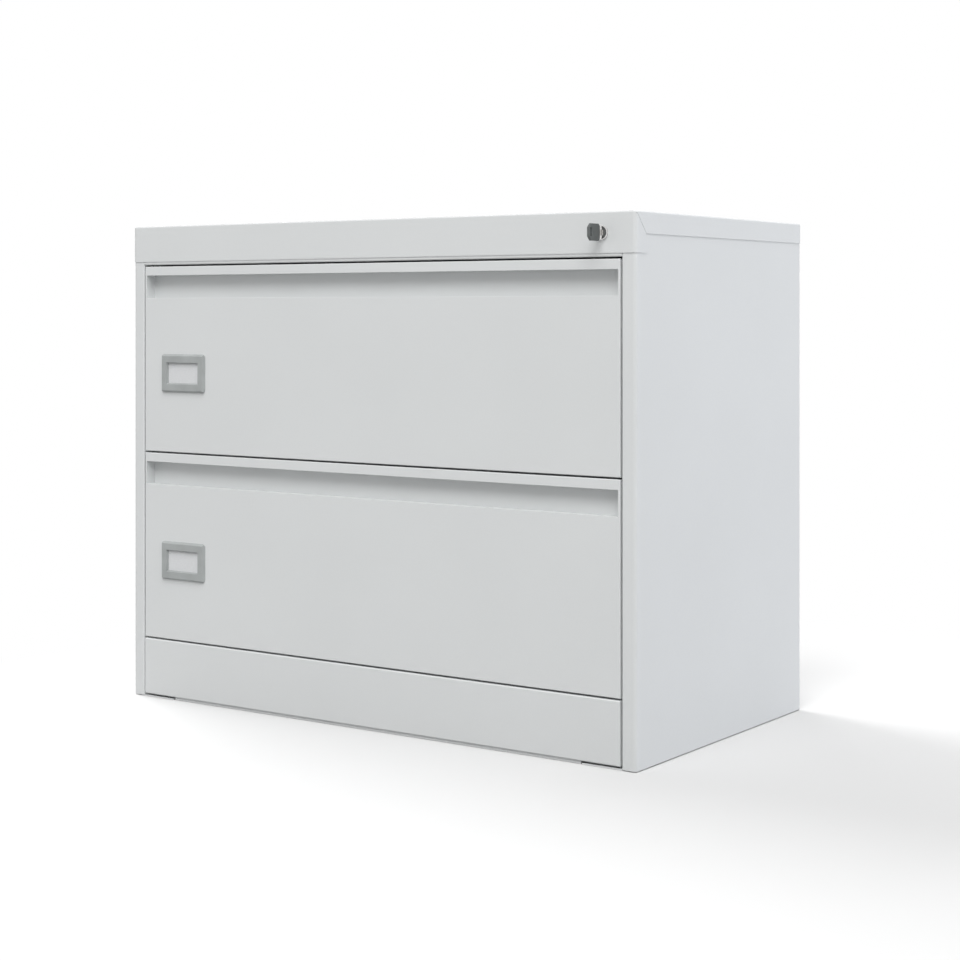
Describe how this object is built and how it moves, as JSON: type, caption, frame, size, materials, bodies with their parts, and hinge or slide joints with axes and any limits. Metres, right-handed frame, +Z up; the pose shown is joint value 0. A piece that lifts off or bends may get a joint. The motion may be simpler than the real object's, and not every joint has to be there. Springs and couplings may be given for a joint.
{
  "type": "filing cabinet",
  "caption": "Low, wide side filing cabinet in pale painted steel: lockable drawers on full-extension slides, recessed finger pulls, label holders, levelling feet.",
  "frame": {"origin": "on the floor, under the middle of the box round the cabinet and its key", "axes": "+X to the right seen from the front, +Y from the front to the back, +Z up"},
  "size_m": [0.885, 0.509, 0.711],
  "materials": {
    "paint": "fine satin powder coat, light grey",
    "zinc": "bright zinc plate",
    "lock_metal": "polished nickel plate",
    "key_steel": "nickel-plated key blank",
    "key_plastic": "moulded, fine grain",
    "label_plastic": "moulded, smooth, mid grey",
    "card": "plain pale card",
    "nylon": "natural nylon",
    "foot_plastic": "moulded, black"
  },
  "bodies": {
    "carcase": {"back_panel": "paint", "bar_guides": "nylon", "base_panel": "paint", "foot_brackets": "paint", "header_rail": "paint", "leveller_nuts": "zinc", "lock_body": "lock_metal", "lock_nut": "zinc", "lower_outer_slides": "zinc", "plinth_panel": "paint", "side_panel_left": "paint", "side_panel_right": "paint", "slide_screws": "zinc", "slide_uprights": "zinc", "top_cover": "paint", "upper_outer_slides": "zinc"},
    "upper_drawer": {"upper_front": "paint", "upper_liner": "paint", "upper_side_left": "paint", "upper_side_right": "paint", "upper_back": "paint", "upper_tray": "paint", "upper_file_rails": "zinc", "upper_inner_slides": "zinc", "upper_slide_rivets": "zinc", "upper_label_frame": "label_plastic", "upper_label_card": "card", "upper_lock_catch": "zinc", "upper_interlock_catch": "zinc"},
    "upper_slide_middle": {"upper_middle_slides": "zinc"},
    "upper_outer_cage": {"upper_outer_ball_cages": "zinc"},
    "upper_inner_cage": {"upper_inner_ball_cages": "zinc"},
    "lower_drawer": {"lower_front": "paint", "lower_liner": "paint", "lower_side_left": "paint", "lower_side_right": "paint", "lower_back": "paint", "lower_tray": "paint", "lower_file_rails": "zinc", "lower_inner_slides": "zinc", "lower_slide_rivets": "zinc", "lower_label_frame": "label_plastic", "lower_label_card": "card", "lower_lock_catch": "zinc", "lower_interlock_catch": "zinc"},
    "lower_slide_middle": {"lower_middle_slides": "zinc"},
    "lower_outer_cage": {"lower_outer_ball_cages": "zinc"},
    "lower_inner_cage": {"lower_inner_ball_cages": "zinc"},
    "plug": {"lock_plug": "lock_metal", "lock_cam": "zinc", "cam_screw": "zinc"},
    "key": {"key_blade": "key_steel", "key_bow": "key_plastic"},
    "locking_bar": {"lock_bar": "zinc"},
    "anti_tilt_bar": {"interlock_bar": "zinc"},
    "foot_front_left": {"foot_front_left": "foot_plastic"},
    "foot_front_right": {"foot_front_right": "foot_plastic"},
    "foot_rear_left": {"foot_rear_left": "foot_plastic"},
    "foot_rear_right": {"foot_rear_right": "foot_plastic"}
  },
  "joints": [
    {"name": "upper_drawer_slide", "type": "slide", "parent": "carcase", "child": "upper_drawer", "axis": [0, -1, 0], "range_m": [0, 0.4]},
    {"name": "upper_middle_slide", "type": "slide", "parent": "carcase", "child": "upper_slide_middle", "axis": [0, -1, 0], "range_m": [0, 0.2]},
    {"name": "upper_outer_cage_slide", "type": "slide", "parent": "carcase", "child": "upper_outer_cage", "axis": [0, -1, 0], "range_m": [0, 0.1]},
    {"name": "upper_inner_cage_slide", "type": "slide", "parent": "carcase", "child": "upper_inner_cage", "axis": [0, -1, 0], "range_m": [0, 0.3]},
    {"name": "lower_drawer_slide", "type": "slide", "parent": "carcase", "child": "lower_drawer", "axis": [0, -1, 0], "range_m": [0, 0.4]},
    {"name": "lower_middle_slide", "type": "slide", "parent": "carcase", "child": "lower_slide_middle", "axis": [0, -1, 0], "range_m": [0, 0.2]},
    {"name": "lower_outer_cage_slide", "type": "slide", "parent": "carcase", "child": "lower_outer_cage", "axis": [0, -1, 0], "range_m": [0, 0.1]},
    {"name": "lower_inner_cage_slide", "type": "slide", "parent": "carcase", "child": "lower_inner_cage", "axis": [0, -1, 0], "range_m": [0, 0.3]},
    {"name": "lock_turn", "type": "hinge", "parent": "carcase", "child": "plug", "pos_m": [0.39155, -0.21, 0.684], "axis": [0, 1, 0], "range_deg": [0, 90]},
    {"name": "lock_bar_lift", "type": "slide", "parent": "carcase", "child": "locking_bar", "axis": [0, 0, 1], "range_m": [0, 0.012]},
    {"name": "key_pull", "type": "slide", "parent": "plug", "child": "key", "axis": [0, -1, 0], "range_m": [0, 0.04]},
    {"name": "anti_tilt_lift", "type": "slide", "parent": "carcase", "child": "anti_tilt_bar", "axis": [0, 0, 1], "range_m": [0, 0.012]},
    {"name": "foot_front_left_reach", "type": "slide", "parent": "carcase", "child": "foot_front_left", "axis": [0, 0, -1], "range_m": [0, 0.012]},
    {"name": "foot_front_right_reach", "type": "slide", "parent": "carcase", "child": "foot_front_right", "axis": [0, 0, -1], "range_m": [0, 0.012]},
    {"name": "foot_rear_left_reach", "type": "slide", "parent": "carcase", "child": "foot_rear_left", "axis": [0, 0, -1], "range_m": [0, 0.012]},
    {"name": "foot_rear_right_reach", "type": "slide", "parent": "carcase", "child": "foot_rear_right", "axis": [0, 0, -1], "range_m": [0, 0.012]}
  ],
  "couplings": [
    {"joint": "upper_middle_slide", "follows": "upper_drawer_slide", "ratio": 0.5},
    {"joint": "upper_outer_cage_slide", "follows": "upper_drawer_slide", "ratio": 0.25},
    {"joint": "upper_inner_cage_slide", "follows": "upper_drawer_slide", "ratio": 0.75},
    {"joint": "lower_middle_slide", "follows": "lower_drawer_slide", "ratio": 0.5},
    {"joint": "lower_outer_cage_slide", "follows": "lower_drawer_slide", "ratio": 0.25},
    {"joint": "lower_inner_cage_slide", "follows": "lower_drawer_slide", "ratio": 0.75},
    {"joint": "lock_turn", "follows": "lock_bar_lift", "rad_per_m": 130.9}
  ]
}
